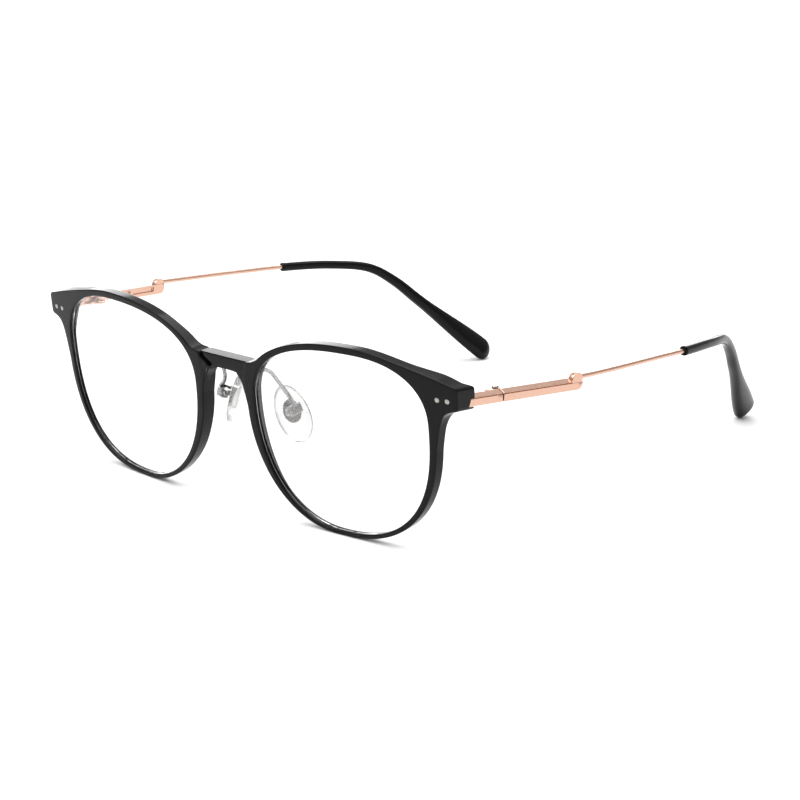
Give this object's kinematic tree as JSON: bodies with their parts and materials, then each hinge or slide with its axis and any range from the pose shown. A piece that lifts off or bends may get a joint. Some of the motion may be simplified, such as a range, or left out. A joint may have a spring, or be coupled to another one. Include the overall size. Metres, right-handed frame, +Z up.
{
  "type": "eyeglasses",
  "caption": "Full-rim eyeglasses: black plastic front with clear lenses, folding rose-gold metal temples with wire shanks and black tips, and rocking nose pads.",
  "frame": {"origin": "middle of the footprint, on the surface the open glasses stand on", "axes": "+Z up, -Y the way the lenses face, +X the wearer's left; the temples run back along +Y"},
  "size_m": [0.144, 0.1506, 0.0465],
  "materials": {
    "black_plastic": "polished injection-moulded black plastic",
    "rose_gold": "polished rose-gold plating over a copper alloy",
    "silver_steel": "bright silver-coloured metal",
    "clear_lens": "clear, polished both sides",
    "pad_silicone": "clear, slightly milky silicone"
  },
  "bodies": {
    "front": {"front_frame": "black_plastic", "lens_left": "clear_lens", "lens_right": "clear_lens", "hinge_lug_left": "rose_gold", "hinge_lug_right": "rose_gold", "rivet_inner_left": "silver_steel", "rivet_inner_right": "silver_steel", "rivet_outer_left": "silver_steel", "rivet_outer_right": "silver_steel", "nose_pad_arm_left": "silver_steel", "nose_pad_arm_right": "silver_steel", "hinge_screw_left": "silver_steel", "hinge_screw_right": "silver_steel", "pad_screw_left": "silver_steel", "pad_screw_right": "silver_steel"},
    "temple_left": {"temple_left": "rose_gold", "temple_tip_left": "black_plastic"},
    "temple_right": {"temple_right": "rose_gold", "temple_tip_right": "black_plastic"},
    "nose_pad_left": {"pad_insert_left": "silver_steel", "nose_pad_left": "pad_silicone"},
    "nose_pad_right": {"pad_insert_right": "silver_steel", "nose_pad_right": "pad_silicone"}
  },
  "joints": [
    {"name": "temple_left_fold", "type": "hinge", "parent": "front", "child": "temple_left", "pos_m": [0.06665, -0.05454, 0.03698], "axis": [0.0166, 0.0689, 0.9975], "range_deg": [0, 84]},
    {"name": "temple_right_fold", "type": "hinge", "parent": "front", "child": "temple_right", "pos_m": [-0.06665, -0.05454, 0.03698], "axis": [0.0166, -0.0689, -0.9975], "range_deg": [0, 79]},
    {"name": "nose_pad_left_rock", "type": "hinge", "parent": "front", "child": "nose_pad_left", "pos_m": [0.0121, -0.0625, 0.02434], "axis": [0.3668, 0.8756, 0.3143], "range_deg": [-11, 11]},
    {"name": "nose_pad_right_rock", "type": "hinge", "parent": "front", "child": "nose_pad_right", "pos_m": [-0.0121, -0.0625, 0.02434], "axis": [0.3668, -0.8756, -0.3143], "range_deg": [-11, 11]}
  ]
}
